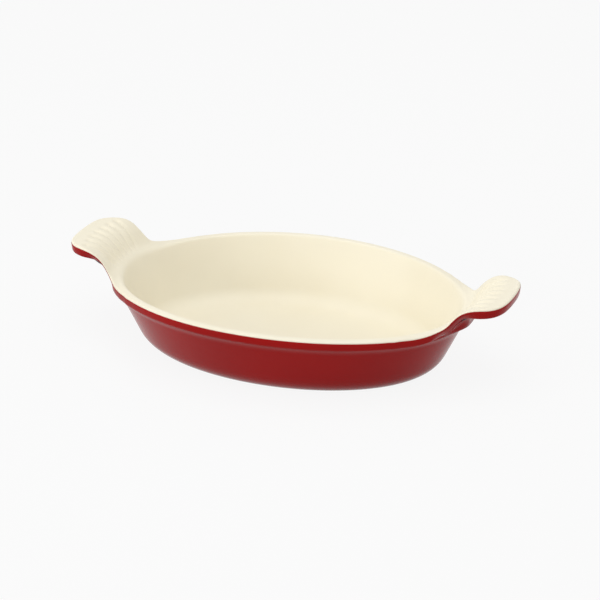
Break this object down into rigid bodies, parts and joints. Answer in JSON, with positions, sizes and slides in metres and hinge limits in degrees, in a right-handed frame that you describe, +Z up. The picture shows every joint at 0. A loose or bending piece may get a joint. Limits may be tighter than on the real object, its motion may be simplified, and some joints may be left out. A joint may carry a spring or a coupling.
{
  "type": "gratin dish",
  "caption": "Oval gratin dish of enamelled cast iron, red outside and cream inside, with an upturned fluted handle at each end.",
  "frame": {"origin": "middle of the base, on the plane it stands on", "axes": "+X along the dish through both handles, +Y across it, +Z up"},
  "size_m": [0.362, 0.2056, 0.0753],
  "materials": {
    "iron": "as cast, under the fired coats",
    "ground_glass": "thin dark ground coat of vitreous enamel, hidden",
    "red_glass": "glossy vitreous enamel, deep red",
    "cream_glass": "satin-gloss vitreous enamel, cream"
  },
  "bodies": {
    "root": {"cast_iron_body": "iron", "ground_enamel": "ground_glass", "exterior_enamel": "red_glass", "interior_enamel": "cream_glass"}
  },
  "joints": []
}
